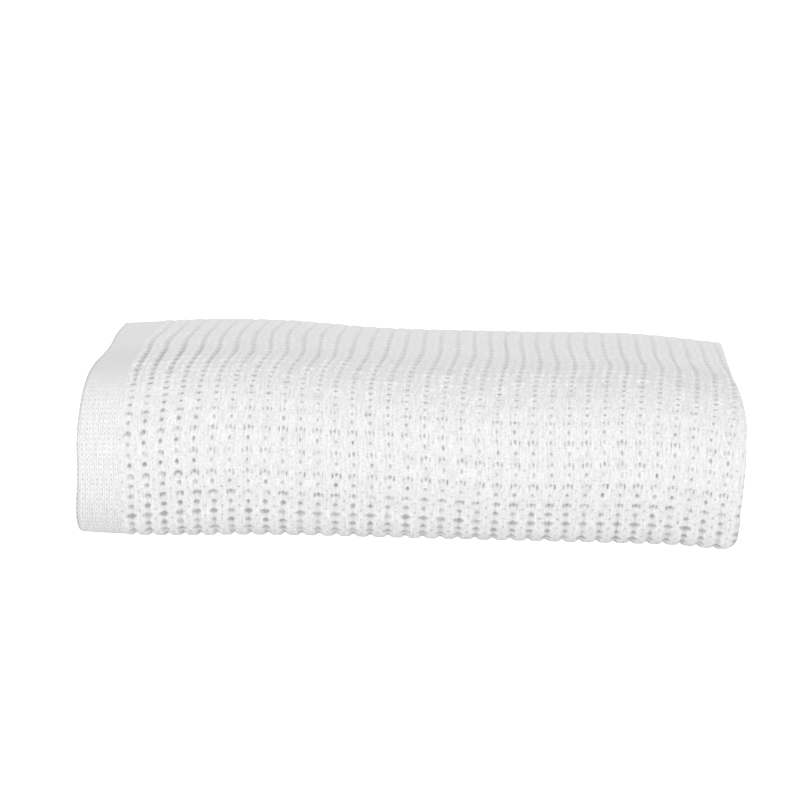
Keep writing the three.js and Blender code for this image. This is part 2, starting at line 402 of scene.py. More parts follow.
def bend(y, z, radius, start, stop, fold_start, fold_stop):
    """Stations on an arc in the YZ plane, from one angle to another.

    A station holds the middle of the layer, the way the first ply faces, how far the layer has turned
    towards that face, and the fold that it belongs to. An arc that turns anticlockwise has its first ply
    inside.
    """
    share = np.linspace(0, 1, ARC_STEPS + 1)
    angle = np.radians(start + (stop - start) * share)
    side = np.sign(start - stop)
    return np.stack(
        [
            y + radius * np.cos(angle),
            z + radius * np.sin(angle),
            side * np.cos(angle),
            side * np.sin(angle),
            side * np.abs(angle - angle[0]),
            fold_start + (fold_stop - fold_start) * share,
        ],
        axis=1,
    )


def layer_thickness(pile):
    return 2 * pile.ply_thickness + pile.ply_gap


def layer_pitch(pile):
    return pile.height / (2 * len(FOLDS))


def lay_path(pile):
    """The whole length of the cloth: fold after fold around the front, joined by turns at the back."""
    pitch = layer_pitch(pile)
    turn_radius = pitch / 2
    middle = pile.height / 2
    front = -pile.depth / 2 + layer_thickness(pile) / 2
    back = pile.depth / 2 - layer_thickness(pile) / 2 - turn_radius
    free_start = [back - FOLDS[0].back * MM, middle + turn_radius, 0, -1, 0, 0]
    free_stop = [back - FOLDS[-1].back * MM, layer_thickness(pile) / 2, 0, 1, 0, OUTERMOST]
    stretches = [np.array([free_start])]
    turns = []
    for k, fold in enumerate(FOLDS):
        upper, lower = fold.upper * MM, fold.lower * MM
        nose = front + (OUTERMOST - k) * pitch
        reach = (k + 0.5) * pitch
        above = (nose + upper, middle + reach - upper, upper)
        below = (nose + lower, middle - reach + lower, lower)
        downward = k % 2 == 0
        if downward:
            stretches += [bend(*above, 90, 180, k, k), bend(*below, 180, 270, k, k)]
        else:
            stretches += [bend(*below, 270, 180, k, k), bend(*above, 180, 90, k, k)]
        if k < OUTERMOST:
            turn_height = middle + (-1 if downward else 1) * (k + 1) * pitch
            swing = 90 if downward else -90
            turn = (back - fold.back * MM, turn_height, turn_radius)
            turns.append(len(stretches))
            stretches.append(bend(*turn, swing, -swing, k, k + 1))
    stretches.append(np.array([free_stop]))

    turned = 0
    for stretch in stretches:
        stretch[:, 4] += turned
        turned = stretch[-1, 4]
    table = np.concatenate(stretches)
    steps = np.hypot(np.diff(table[:, 0]), np.diff(table[:, 1]))
    along = np.concatenate([[0], np.cumsum(steps)])
    firsts = np.cumsum([0] + [len(stretch) for stretch in stretches])
    spans = [(along[firsts[i]], along[firsts[i + 1] - 1]) for i in turns]
    return Path(along, *table.T, spans)


def path_at(path, name, along):
    return np.interp(along, path.along, getattr(path, name))


def outer_start(path):
    """Where the outermost face begins: the turn at the top of the back."""
    return path.turns[-1][0]


# From cloth coordinates to the settled pile


def settle(pile, x, y, z):
    """Moves points of the evenly folded pile to their places in the settled pile.

    Above the foremost line the front leans back with the square of the height above it, below the line it
    tucks in the same way, and the two bulges are bells across the width that fade out upwards. The crown
    lifts each point by a share of its height.
    """
    fade = 1 - smoothstep(y, FADE_START, FADE_END)
    above = np.maximum(z - FOREMOST_HEIGHT, 0) / (pile.height - FOREMOST_HEIGHT)
    below = np.maximum(FOREMOST_HEIGHT - z, 0) / FOREMOST_HEIGHT
    shift = LEAN_AT_TOP * above**2 + TUCK_AT_BASE * below**2
    lowness = 1 - smoothstep(z, 0, BULGE_HEIGHT)
    for bulge in BULGES:
        bell = np.exp(-(((x - bulge.x * MM) / (bulge.spread * MM)) ** 2))
        shift -= bulge.reach * MM * lowness * bell
    rise = smooth_curve(column(CROWN, "x"), column(CROWN, "rise"), x)
    return np.stack([x, y + fade * shift, z * (1 + rise / pile.height)], axis=-1)


def layer_edges(pile, path, along):
    """The left edge of the layer and the middle of its lengthwise fold, at each way along."""
    fold = path_at(path, "fold", along)
    numbers = np.arange(len(FOLDS))
    left = np.interp(fold, numbers, column(FOLDS, "left"))
    right = np.interp(fold, numbers, column(FOLDS, "right"))
    outer = along - outer_start(path)
    on_outside = np.clip(fold - OUTERMOST + 1, 0, 1)
    left_spill = on_outside * smooth_curve(column(EDGE_SPILL, "along"), column(EDGE_SPILL, "spill"), outer)
    right_spill = on_outside * smooth_curve(column(FOLD_SPILL, "along"), column(FOLD_SPILL, "spill"), outer)
    left_edge = -pile.width / 2 + left - left_spill
    fold_centre = pile.width / 2 - right + right_spill - layer_thickness(pile) / 2
    return left_edge, fold_centre


def ply_middle(pile):
    """From the middle of the doubled layer to the middle of a ply."""
    return (pile.ply_gap + pile.ply_thickness) / 2


def slide_at(pile, path, across, along):
    """How far the outermost layer was drawn towards the lengthwise fold at a place in the cloth.

    On the first ply, which lies under it, the slide fades out away from the fold.
    """
    outer = along - outer_start(path)
    border = np.clip(pile.cloth_width / 2 - across, 0, pile.cloth_width / 2)
    slide = shift_table(SLIDE_BORDERS, SLIDES, border, outer)
    fade = smoothstep(outer, SLIDE_START, SLIDES[0].outer * MM)
    return slide * fade * (1 - smoothstep(-across, 0, FIRST_PLY_SLIDE))


def place_evenly(pile, path, across, along, lift):
    """Places in the settled pile, before it is moved onto the frame.

    Across the layer a ply runs straight from its border to the lengthwise fold, and there half way round
    the middle of the layer. The layer's cross-section is then turned to face its way along the path.
    """
    middle = ply_middle(pile)
    quarter = np.pi / 2 * middle
    across = across - slide_at(pile, path, across, along)
    around = np.clip(across, -quarter, quarter)
    beyond = (np.abs(across) - np.abs(around)) / (pile.cloth_width / 2 - quarter)
    left_edge, fold_centre = layer_edges(pile, path, along)
    angle = around / middle
    x = fold_centre + (middle + lift) * np.cos(angle) - beyond * (fold_centre - left_edge)
    offset = -(middle + lift) * np.sin(angle)
    y = path_at(path, "y", along) + offset * path_at(path, "face_y", along)
    z = path_at(path, "z", along) + offset * path_at(path, "face_z", along)
    return settle(pile, x, y, z)


def settled_lengths(pile, path):
    """The way along the settled cloth in the middle of its width, at even steps of the way along the path.

    Gives the steps, the mean of the lengths of the two plies, and half of what the second ply is longer.
    """
    steps = np.linspace(0, path.along[-1], int(path.along[-1] / MM))
    lengths = []
    for side in (-1, 1):
        offset = -side * ply_middle(pile)
        y = path_at(path, "y", steps) + offset * path_at(path, "face_y", steps)
        z = path_at(path, "z", steps) + offset * path_at(path, "face_z", steps)
        points = settle(pile, 0 * y, y, z)
        ways = np.linalg.norm(np.diff(points, axis=0), axis=1)
        lengths.append(np.concatenate([[0], np.cumsum(ways)]))
    first, second = lengths
    return steps, (first + second) / 2, (second - first) / 2


def frame_shift(pile, path):
    """What moves the even cloth onto the frame: the middles of the two boxes meet, and so do their bases."""
    half = pile.cloth_width / 2
    across = np.linspace(-half, half, FIT_COLUMNS)[None, :]
    along = path.along[:, None]
    points = place_evenly(pile, path, across, along, pile.ply_thickness / 2).reshape(-1, 3)
    low, high = points.min(axis=0), points.max(axis=0)
    shift = (CAD_LOW + CAD_HIGH - low - high) / 2
    shift[2] = CAD_LOW[2] - low[2]
    return shift


class Cloth:
    """The sizes, the path and the frame's place, which every piece of the cloth shares."""

    def __init__(self, scene):
        self.material = cotton(scene)
        self.pile = scene.runner_pile
        self.weave = scene.runner_weave
        self.path = lay_path(self.pile)
        self.shift = frame_shift(self.pile, self.path)
        self.lengths = settled_lengths(self.pile, self.path)
        self.half = self.pile.cloth_width / 2
        self.outer_start = outer_start(self.path)
        self.end = self.path.along[-1]

    def place(self, across, along, lift):
        return place_evenly(self.pile, self.path, across, along, lift) + self.shift

    def row_length(self, across, along):
        """The way along the settled cloth, from one ply's length to the other's round the fold."""
        steps, mean, excess = self.lengths
        angle = np.clip(across / ply_middle(self.pile), -np.pi / 2, np.pi / 2)
        return np.interp(along, steps, mean) + np.sin(angle) * np.interp(along, steps, excess)

    def from_border(self, across):
        return self.half - np.abs(across)


# The weave


def hollow(a, b, width, length, pulled=0):
    """A steep pit with a flat floor: 1 in the middle and 0 outside an oval of that width and length.

    It falls with the fourth power of the distance, counted in half widths and half lengths. pulled turns the
    oval into a lozenge, by taking the distance from the sum of its two parts instead of their squares.
    """
    power = 2 - pulled
    spread = np.abs(2 * a / width) ** power + np.abs(2 * b / length) ** power
    return np.exp(-(spread ** (4 / power)))


def ridge(distance, width):
    """A soft ridge, as a bell of that width: 1 on its line and 0 away from it."""
    return np.exp(-((2 * distance / width) ** 2))


def cell_jitter(cloth):
    """A seeded unevenness for each cell, as a table by trough, row and kind."""
    troughs = 2 * int(cloth.half / cloth.weave.rib_pitch) + SPARE_TROUGHS
    rows = int(cloth.end / cloth.weave.row_pitch) + SPARE_ROWS
    return UNEVENNESS * np.random.default_rng(WEAVE_SEED).normal(size=(troughs, rows, 4))


def row_at(cloth, across, along):
    """The number of the row of holes there, where even rows have slits."""
    outer = along - cloth.outer_start
    drift = shift_table(ROW_DRIFT_BORDERS, ROW_DRIFTS, cloth.from_border(across), outer)
    gather = np.interp(outer, column(GATHERS, "outer"), column(GATHERS, "gather"))
    return (cloth.row_length(across, along) - drift - gather) / cloth.weave.row_pitch


def hang_at(outer):
    """How the weave hangs there: straight lines between the stations of HANGS, and INNER_HANG before them."""
    ways = column(HANGS, "outer")
    values = []
    for name in Hang._fields[1:]:
        on_face = np.interp(outer, ways, [getattr(station, name) for station in HANGS])
        values.append(np.where(outer < ways[0], getattr(INNER_HANG, name), on_face))
    return Hang(outer, *values)


# A cell is one hole of a trough with what goes with it. a and b are the ways from its middle, across and
# down, and crest is the way to the crest of the rib. wide, long, aside and strong are its unevenness.
Cell = namedtuple("Cell", "a b crest near_band slitted wide long aside strong")
# A weave's hollow is the yarn's tone with its painted shade and highlights.
Weave = namedtuple("Weave", "sink hollow threads")


def hole_size(cell, hang):
    """The width and length of a hole."""
    width = hang.width * MM * (1 + GAPE_WIDENS * hang.gape * cell.slitted) * (1 + cell.wide)
    width = width + NEAR_BAND_WIDTH * cell.near_band * (1 - hang.gape)
    length = hang.length * MM * (1 + NEAR_BAND_LENGTH * cell.near_band) * (1 + cell.long)
    return width, length


def hole_at(cell, hang, width, length):
    """How hollow the hole is, as a pit and as painted shade: an oval pit, which nears a lozenge where it
    gapes.
    """
    gain = 1 + NEAR_BAND_HOLE * cell.near_band * (1 - NEAR_BAND_GAPED * hang.gape)
    hole = hollow(cell.a, cell.b, width, length, GAPE_LOZENGE * hang.gape)
    return hole * hang.hole * gain * (1 + UNEVEN_HOLES * cell.strong)


def slits_at(cell, hang):
    """How hollow the slits beside the hole are, as pits and as painted shade: two narrow oval pits."""
    closed = 1 - GAPE_CLOSES * hang.gape
    side = SLIT_SIDE * closed * (1 - NEAR_BAND_SLIT_SIDE * cell.near_band)
    width = SLIT_WIDTH * (1 + hang.gape) * (1 + NEAR_BAND_SLIT_WIDTH * cell.near_band)
    lower = cell.b - SLIT_DROP * (1 - hang.gape)
    first = hollow(cell.a - side, lower, width, SLIT_LENGTH * closed) * (1 + UNEVEN_SLITS * cell.wide)
    second = hollow(cell.a + side, lower, width, SLIT_LENGTH * closed) * (1 + UNEVEN_SLITS * cell.strong)
    return (first + second) * cell.slitted * hang.slit * (1 - GAPE_FADES * hang.gape)


def loop_at(cell, hang, width, length):
    """The loop of thread round the hole: a soft ridge along an oval that is a little larger than the hole."""
    reach = np.hypot(cell.a / (width / 2 + LOOP_SIDE), (cell.b - LOOP_DROP) / (length / 2 + LOOP_END))
    return ridge(reach - 1, LOOP_BREADTH) * hang.loop * (1 + UNEVEN_LOOPS * cell.long)


def dimple_at(cell, hang, row_pitch):
    """A small round pit on the crest of the rib, half a row below the hole, with painted shade in it."""
    dimple = hollow(cell.crest, cell.b - row_pitch / 2, DIMPLE_SIZE, DIMPLE_SIZE)
    return dimple * hang.slit * (1 + UNEVEN_DIMPLES * cell.aside).clip(0)


def band_at(border, outer, hang):
    """The flat band, with painted shade at its rolled edge, on the top and where it turns under, by smooth
    steps.
    """
    plain = 1 - smoothstep(outer, BAND_PLAIN_START, BAND_PLAIN_END)
    edge = EDGE_SHADE * (1 - smoothstep(border, 0, EDGE_ROLL))
    foot = FOOT_SHADE * smoothstep(outer, FOOT_START, FOOT_END)
    shade = hang.yarn + edge + foot + BAND_PLAIN_SHADE * plain
    return Weave(BAND_SINK, shade, hang.threads * (1 - BAND_PLAIN * plain))


def weave_at(cloth, across, along):
    """How far the outer face lies below the crests of the ribs, how much painted shade it takes over the
    yarn's tone, and how its threads show.

    Between two ribs lies a trough whose flanks are smooth steps, with a line of painted shade along it. Along
    the trough each row has a cell, whose pits add to the depth and whose darkest pit gives the painted shade.
    The loops lie over both and are painted lighter. The fold and the open ground of the troughs take painted
    shade too.
    """
    weave = cloth.weave
    across, along = np.broadcast_arrays(across, along)
    border = cloth.from_border(across)
    rib = (border - weave.first_trough) / weave.rib_pitch
    last = int((cloth.half - weave.first_trough) / weave.rib_pitch)
    trough = np.clip(np.round(rib), 0, last).astype(int)
    a = (rib - trough) * weave.rib_pitch
    crest = weave.rib_pitch / 2 - np.abs(a)
    row = row_at(cloth, across, along)
    outer = along - cloth.outer_start
    hang = hang_at(outer)
    near_band = 1 - smoothstep(border, NEAR_BAND_START, NEAR_BAND_END)

    flank = smoothstep(np.abs(a), FLANK_START, FLANK_STOP)
    dome = RIB_DOME * (2 * crest / weave.rib_pitch) ** 2
    sink = hang.relief * (weave.rib_height * (1 - flank) + dome)
    # A line of painted shade along each trough, darker near the band.
    darker = 1 + NEAR_BAND_LINE * near_band * ridge(outer - LINE_DARK_AT, LINE_DARK_REACH)
    shade = hang.line * darker * ridge(a, LINE_WIDTH)
    loops = 0

    jitter = cell_jitter(cloth)
    place = trough + np.where(across > 0, jitter.shape[0] // 2, 0)
    for step in (-1, 0, 1):
        number = np.round(row).astype(int) + step
        wide, long, aside, strong = np.moveaxis(jitter[place, number % jitter.shape[1]], -1, 0)
        b = (row - number) * weave.row_pitch + hang.gape * GAPE_BOW * flank
        cell = Cell(a + MM * aside, b, crest, near_band, number % 2 == 0, wide, long, aside, strong)
        size = hole_size(cell, hang)
        pits = np.maximum(hole_at(cell, hang, *size), slits_at(cell, hang))
        dimple = dimple_at(cell, hang, weave.row_pitch)
        loops = np.maximum(loops, loop_at(cell, hang, *size))
        depth = weave.hole_depth * (1 - GAPE_SHALLOW * hang.gape)
        sink = sink + depth * pits.clip(0, 1) + DIMPLE_DEPTH * dimple
        # The darkest of the pits and dimples gives the painted shade.
        shade = np.maximum(shade, np.maximum(pits, DIMPLE_SHADE * dimple))

    loops = np.clip(loops, 0, 1)
    sink = sink - LOOP_LIFT * loops * (1 - flank)
    # The loops hide a share of the painted shade and all of the yarn's tone, as painted highlights. The
    # lengthwise fold, rolling away from the light, and the open ground of each trough take painted shade.
    trough_shade = np.interp(outer, column(TROUGH_SHADES, "outer"), [trough_shade.shade for trough_shade in TROUGH_SHADES])
    fold = EDGE_SHADE * (1 - smoothstep(cloth.half - border, 0, EDGE_ROLL))
    shade = shade * (1 - LOOP_COVER * loops) + hang.yarn * (1 - loops) + fold
    shade = shade + trough_shade * hollow(a, 0, TROUGH_SHADE_WIDTH, TROUGH_SHADE_WIDTH)
    ribbed = Weave(sink, shade, hang.threads * RIBBED_THREADS)
    band = band_at(border, outer, hang)
    on_band = 1 - smoothstep(border, weave.band_width, weave.band_width + BAND_BLEND)
    sink, shade, threads = (part * (1 - on_band) + flat * on_band for part, flat in zip(ribbed, band))
    return Weave(np.clip(sink, 0, MOST_SINK), np.clip(shade, 0, 1), threads)


def edge_round(cloth, across):
    """Rounds off the border edge: a quarter circle, as a share of the ply's half thickness."""
    half_thickness = cloth.pile.ply_thickness / 2
    share = np.clip(cloth.from_border(across) / half_thickness, 0, 1)
    return EDGE_KEPT + (1 - EDGE_KEPT) * np.sqrt(1 - (1 - share) ** 2)


def face_lift(cloth, across, along):
    """Lift of the outer face, with its weave."""
    sink = weave_at(cloth, across, along).sink
    return (cloth.pile.ply_thickness / 2 - sink) * edge_round(cloth, across)


def plain_lift(cloth, across, along):
    """Lift of an outer face that doesn't show, which is left plain."""
    return cloth.pile.ply_thickness / 2 * edge_round(cloth, across) + 0 * along


def back_lift(cloth, across, along):
    """Lift of the inner face, which is left plain."""
    return -plain_lift(cloth, across, along)


# Meshes


def new_piece(name, points, faces, smooth_faces, uv, shares, material):
    """A mesh object from points and arrays of faces, with cloth coordinates, tone and painted shade for each
    point.

    The first arrays of faces, as many as smooth_faces says, are shaded smooth, and the walls are flat.
    """
    mesh = bpy.data.meshes.new(name)
    loops = np.concatenate([face.ravel() for face in faces]).astype(np.int32)
    sizes = np.concatenate([np.full(len(face), face.shape[1]) for face in faces])
    starts = np.concatenate([[0], np.cumsum(sizes)[:-1]]).astype(np.int32)
    mesh.vertices.add(len(points))
    mesh.vertices.foreach_set("co", points.astype(np.float32).ravel())
    mesh.loops.add(len(loops))
    mesh.loops.foreach_set("vertex_index", loops)
    mesh.polygons.add(len(starts))
    mesh.polygons.foreach_set("loop_start", starts)
    mesh.update(calc_edges=True)
    smooth = np.arange(len(starts)) < sum(len(face) for face in faces[:smooth_faces])
    mesh.polygons.foreach_set("use_smooth", smooth)
    layer = mesh.uv_layers.new(name="Cloth")
    layer.uv.foreach_set("vector", uv[loops].astype(np.float32).ravel())
    for label, values in shares.items():
        attribute = mesh.attributes.new(label, "FLOAT", "POINT")
        attribute.data.foreach_set("value", values.astype(np.float32))
    mesh.validate()
    mesh.materials.append(material)
    piece = bpy.data.objects.new(name, mesh)
    bpy.context.scene.collection.objects.link(piece)
    return piece


def grid_faces(index):
    """The four-sided faces of a grid of point numbers."""
    corners = [index[:-1, :-1], index[:-1, 1:], index[1:, 1:], index[1:, :-1]]
    return np.stack([corner.ravel() for corner in corners], axis=1)


def end_faces(face_row, back_row, every):
    """The faces that close one end of a shell, each from one point of the back to the next."""
    faces = []
    for i in range(len(back_row) - 1):
        top = face_row[i * every:(i + 1) * every + 1]
        faces.append(np.concatenate([top[::-1], back_row[i:i + 2]])[None, :])
    return faces


def cloth_shell(cloth, name, across, along, face, back, every=1):
    """A stretch of cloth as a closed shell on a grid of cloth coordinates.

    Its outer face has a point at every across and along, and its back only at some of the columns. The
    last columns that don't fill a step of the back are closed by one more.
    """
    spare = (-(len(across) - 1)) % every
    if spare:
        across = np.concatenate([across[:1], np.linspace(across[0], across[1], spare + 2)[1:-1], across[1:]])
    wide, narrow = across[None, :], across[::every][None, :]
    rows = along[:, None]
    face_points = cloth.place(wide, rows, face(cloth, wide, rows))
    back_points = cloth.place(narrow, rows, back(cloth, narrow, rows))
    face_index = np.arange(face_points[..., 0].size).reshape(face_points.shape[:2])
    back_index = np.arange(back_points[..., 0].size).reshape(back_points.shape[:2]) + face_index.size
    first_wall = np.stack([back_index[:, 0], face_index[:, 0]], axis=1)
    last_wall = np.stack([face_index[:, -1], back_index[:, -1]], axis=1)
    faces = [
        grid_faces(face_index),
        grid_faces(back_index)[:, ::-1],
        grid_faces(first_wall),
        grid_faces(last_wall),
    ]
    faces += end_faces(face_index[0], back_index[0], every)
    faces += [end[:, ::-1] for end in end_faces(face_index[-1], back_index[-1], every)]

    def cloth_map(columns):
        columns, lengths = np.broadcast_arrays(columns, cloth.row_length(columns, rows))
        return np.stack([cloth.from_border(columns), lengths], axis=-1).reshape(-1, 2)

    points = np.concatenate([face_points.reshape(-1, 3), back_points.reshape(-1, 3)])
    uv = np.concatenate([cloth_map(wide), cloth_map(narrow)])
    # Pieces without weave have the plain yarn's tone; the woven face has its tone with painted shade and
    # highlights.
    shares = {"Hollow": np.full(len(points), YARN_SHADE), "Threads": np.ones(len(points))}
    if face is face_lift:
        weave = weave_at(cloth, wide, rows)
        shares["Hollow"][:face_index.size] = weave.hollow.ravel()
        shares["Threads"][:face_index.size] = weave.threads.ravel()
    piece = new_piece(name, points, faces, 2, uv, shares, cloth.material)
    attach(piece, "root")
    return piece


def rib_columns(cloth, first, last, per_rib, crowding):
    """Distances from the border between two troughs, closer together in the troughs than on the ribs."""
    share = np.arange((last - first) * per_rib + 1) / per_rib
    crowded = share - crowding * np.sin(2 * np.pi * share) / (2 * np.pi)
    return cloth.weave.first_trough + (first + crowded) * cloth.weave.rib_pitch


def steps_between(start, stop, step):
    """Even steps from start to stop, none longer than step."""
    return np.linspace(start, stop, int(np.ceil((stop - start) / step)) + 1)


def joined(*stretches):
    """Several runs of steps as one, without the repeated ends."""
    return np.concatenate([stretches[0]] + [stretch[1:] for stretch in stretches[1:]])


# Materials


def linear(hex_value):
    """An sRGB hex value as linear red, green, blue and alpha."""
    channels = np.array([int(hex_value[i:i + 2], 16) for i in (0, 2, 4)]) / 255
    low = channels / 12.92
    high = ((channels + 0.055) / 1.055) ** 2.4
    return (*np.where(channels <= 0.04045, low, high), 1.0)


def add_node(tree, kind, inputs=None, **settings):
    """Adds a node with its settings. Each input gets a value, or a link from a socket or from a node.

    A link from a node starts at its first output.
    """
    node = tree.nodes.new(kind)
    for name, value in settings.items():
        setattr(node, name, value)
    for name, value in (inputs or {}).items():
        if isinstance(value, bpy.types.Node):
            value = value.outputs[0]
        if isinstance(value, bpy.types.NodeSocket):
            tree.links.new(value, node.inputs[name])
        else:
            node.inputs[name].default_value = value
    return node


# Single threads of such yarn are about half a millimetre thick, too fine to show. They are drawn this wide
# and long instead, with a grain as coarse. The knit of the band has its wales and courses this far apart.
THREAD_WIDTH = 0.9 * MM
THREAD_LENGTH = 8 * MM
GRAIN_SIZE = 1.2 * MM
WALE = 1.28 * MM
COURSE = 2.66 * MM

# How high the knit is beside the threads, how far the relief stands out where the grain is least and how much
# further where it is most, and how much darker its hollows are painted, as a random tone and as painted
# shade.
KNIT_RELIEF = 0.22
LEAST_RELIEF = 0.56
GRAIN_RELIEF = 0.48
RELIEF_SHADE = 0.7


def streaks(tree, place, across_size, along_size):
    """Noise drawn out along or across the ribs, as the threads run."""
    scale = (1 / across_size, 1 / along_size, 1)
    stretched = add_node(tree, "ShaderNodeMapping", {"Vector": place, "Scale": scale})
    noise = {"Vector": stretched, "Scale": 1.0, "Detail": 1.0, "Roughness": 0.5}
    return add_node(tree, "ShaderNodeTexNoise", noise)


def wave(tree, way, pitch):
    """A sine wave of that pitch."""
    angle = add_node(tree, "ShaderNodeMath", {0: way, 1: 2 * np.pi / pitch}, operation="MULTIPLY")
    return add_node(tree, "ShaderNodeMath", {0: angle}, operation="SINE")


def stitches(tree, across, along):
    """The fine knit of the band as a height: close upright wales, which the courses cross in turns.

    It is the wave of the wales, plus the wave of the courses times the sum of a half and the wave of each
    second wale.
    """
    turns = add_node(tree, "ShaderNodeMath", {0: wave(tree, across, 2 * WALE), 1: 0.5}, operation="ADD")
    waves = {0: wave(tree, along, COURSE), 1: turns, 2: wave(tree, across, WALE)}
    return add_node(tree, "ShaderNodeMath", waves, operation="MULTIPLY_ADD")


def cotton_material(finish, weave):
    """Bleached cotton yarn, knitted into an open ribbed cloth and washed soft: matt, with a slight fuzz.

    Its relief is the noise of the threads and their grain, with the knit on the band, and it stands out more
    where the grain and the Threads attribute say so. The bump takes it up. The colour goes from the yarn's
    towards the painted shade colour by the attribute of tone and painted shade, less a share of the relief:
    the relief's hollows are painted darker and its heights lighter, both as a random tone and as painted
    shade.
    """
    material = bpy.data.materials.new("White_cellular_cotton")
    material.use_nodes = True
    tree = material.node_tree
    tree.nodes.clear()
    place = add_node(tree, "ShaderNodeUVMap", uv_map="Cloth")
    split = add_node(tree, "ShaderNodeSeparateXYZ", {"Vector": place})
    across, along = split.outputs["X"], split.outputs["Y"]
    threads = streaks(tree, place, THREAD_WIDTH, THREAD_LENGTH)
    grain = streaks(tree, place, GRAIN_SIZE, GRAIN_SIZE)
    yarn = add_node(tree, "ShaderNodeMath", {0: threads, 1: grain}, operation="ADD")
    yarn = add_node(tree, "ShaderNodeMath", {0: yarn, 1: 1.0}, operation="SUBTRACT")
    on_band = add_node(tree, "ShaderNodeMath", {0: across, 1: weave.band_width}, operation="LESS_THAN")
    knit = stitches(tree, across, along)
    knit = add_node(tree, "ShaderNodeMath", {0: knit, 1: on_band}, operation="MULTIPLY")
    height = add_node(tree, "ShaderNodeMath", {0: knit, 1: KNIT_RELIEF, 2: yarn}, operation="MULTIPLY_ADD")
    coarse = {0: grain, 1: GRAIN_RELIEF, 2: LEAST_RELIEF}
    coarse = add_node(tree, "ShaderNodeMath", coarse, operation="MULTIPLY_ADD")
    showing = add_node(tree, "ShaderNodeAttribute", attribute_name="Threads").outputs["Fac"]
    stands = add_node(tree, "ShaderNodeMath", {0: showing, 1: coarse}, operation="MULTIPLY")
    relief = add_node(tree, "ShaderNodeMath", {0: height, 1: stands}, operation="MULTIPLY")
    bump = add_node(tree, "ShaderNodeBump", {"Strength": 0.6, "Distance": 0.5 * MM, "Height": relief})
    # The yarn's tone with the painted shade and highlights, from its attribute.
    depth = add_node(tree, "ShaderNodeAttribute", attribute_name="Hollow").outputs["Fac"]
    darkened = {0: relief, 1: -RELIEF_SHADE, 2: depth}
    shade = add_node(tree, "ShaderNodeMath", darkened, operation="MULTIPLY_ADD")
    # A Mix node takes its two colours at its sockets 6 and 7, and its third output is the mixed colour.
    colours = {0: shade, 6: linear(finish.cotton_colour), 7: linear(finish.painted_shade_colour)}
    colour = add_node(tree, "ShaderNodeMix", colours, data_type="RGBA")
    surface = {
        "Base Color": colour.outputs[2],
        "Normal": bump,
        "Roughness": finish.roughness,
        "Sheen Weight": 0.1,
        "Sheen Roughness": 0.6,
        "IOR": 1.46,
        "Specular IOR Level": 0.3,
    }
    shader = add_node(tree, "ShaderNodeBsdfPrincipled", surface)
    add_node(tree, "ShaderNodeOutputMaterial", {"Surface": shader})
    return material


def white_to_camera(tree, strength, socket):
    """Gives a light its strength for what it shines on, and plain white where the camera looks at it."""
    seen = add_node(tree, "ShaderNodeLightPath").outputs["Is Camera Ray"]
    mapped = add_node(tree, "ShaderNodeMapRange", {"Value": seen, "To Min": strength, "To Max": 1.0})
    tree.links.new(mapped.outputs["Result"], socket)


def light_table_material(stage):
    """Frosted white acrylic over a lamp: plain white to the eye, and a soft glow on what lies on it."""
    material = bpy.data.materials.new("Frosted_acrylic")
    material.use_nodes = True
    shader = material.node_tree.nodes["Principled BSDF"]
    shader.inputs["Base Color"].default_value = linear(stage.floor_colour)
    shader.inputs["Roughness"].default_value = 0.9
    shader.inputs["Specular IOR Level"].default_value = 0.0
    shader.inputs["Emission Color"].default_value = (1, 1, 1, 1)
    white_to_camera(material.node_tree, stage.floor_glow, shader.inputs["Emission Strength"])
    return material


def cotton(scene):
    """The cotton that all pieces share, made once."""
    found = bpy.data.materials.get("White_cellular_cotton")
    return found or cotton_material(scene.runner_finish, scene.runner_weave)


# Operators

# The base has covers over the lengthwise fold and over the turns at the back, short of the border. They go
# COVER_DEPTH into it. The covers of the turns and the outer ply reach beyond the turns by OUTER_LAP.
FOLD_EDGE_REACH = 7 * MM
OUTER_LAP = 8 * MM
COVER_DEPTH = 2.2 * MM
COVER_CLEARANCE = 0.05 * MM
BORDER_KEPT = 4 * MM

# The base sinks under its covers over these ways, across and along, and is down just inside a cover's end.
SINK_ACROSS = 0.4 * MM
SINK_ALONG = 0.3 * MM
JUST_INSIDE = 0.01 * MM

# The plain parts have a row of points at each step or turn, where only a longer stretch than LONGEST_STEP is
# cut up, and columns over the round of the border edge and across the rest.
BASE_STEP = 9 * MM
LONGEST_STEP = 12 * MM
SHORTEST_STEP = 0.5 * MM
BASE_TURN = np.radians(16)
PLAIN_EDGE = np.array([0, 0.3, 0.8, 1.5, 4.0]) * MM
PLAIN_COLUMNS = 11

# The outer face is cut into strips at its troughs. Its points are closest on the front, between two ways down
# the outer ply, and over the round of the border edge.
OUTER_STRIPS = 5
LAST_TROUGH = 35
FRONT_START = 85 * MM
FRONT_STOP = 195 * MM
WOVEN_EDGE = np.array([0, 0.15, 0.4, 0.8, 1.3]) * MM


def back_turn_spans(cloth):
    """The stretches along that the covers of the back turns lie on, and the side of their outer ply."""
    spans = []
    for number, (start, stop) in enumerate(cloth.path.turns[:-1]):
        spans.append((start - OUTER_LAP, stop + OUTER_LAP, 1 if number % 2 else -1))
    return spans


def covered(cloth, across, along):
    """True where another piece lies over the base of the cloth."""
    across, along = np.broadcast_arrays(across, along)
    under = np.abs(across) <= FOLD_EDGE_REACH
    for start, stop, side in back_turn_spans(cloth):
        inside = (along >= start) & (along <= stop) & (across * side > 0)
        under = under | (inside & (cloth.from_border(across) > BORDER_KEPT))
    return under


def cover_back(cloth, across, along):
    """Lift of the back of a cover, just clear of the base below it."""
    return cloth.pile.ply_thickness / 2 - COVER_DEPTH + COVER_CLEARANCE + 0 * (across + along)


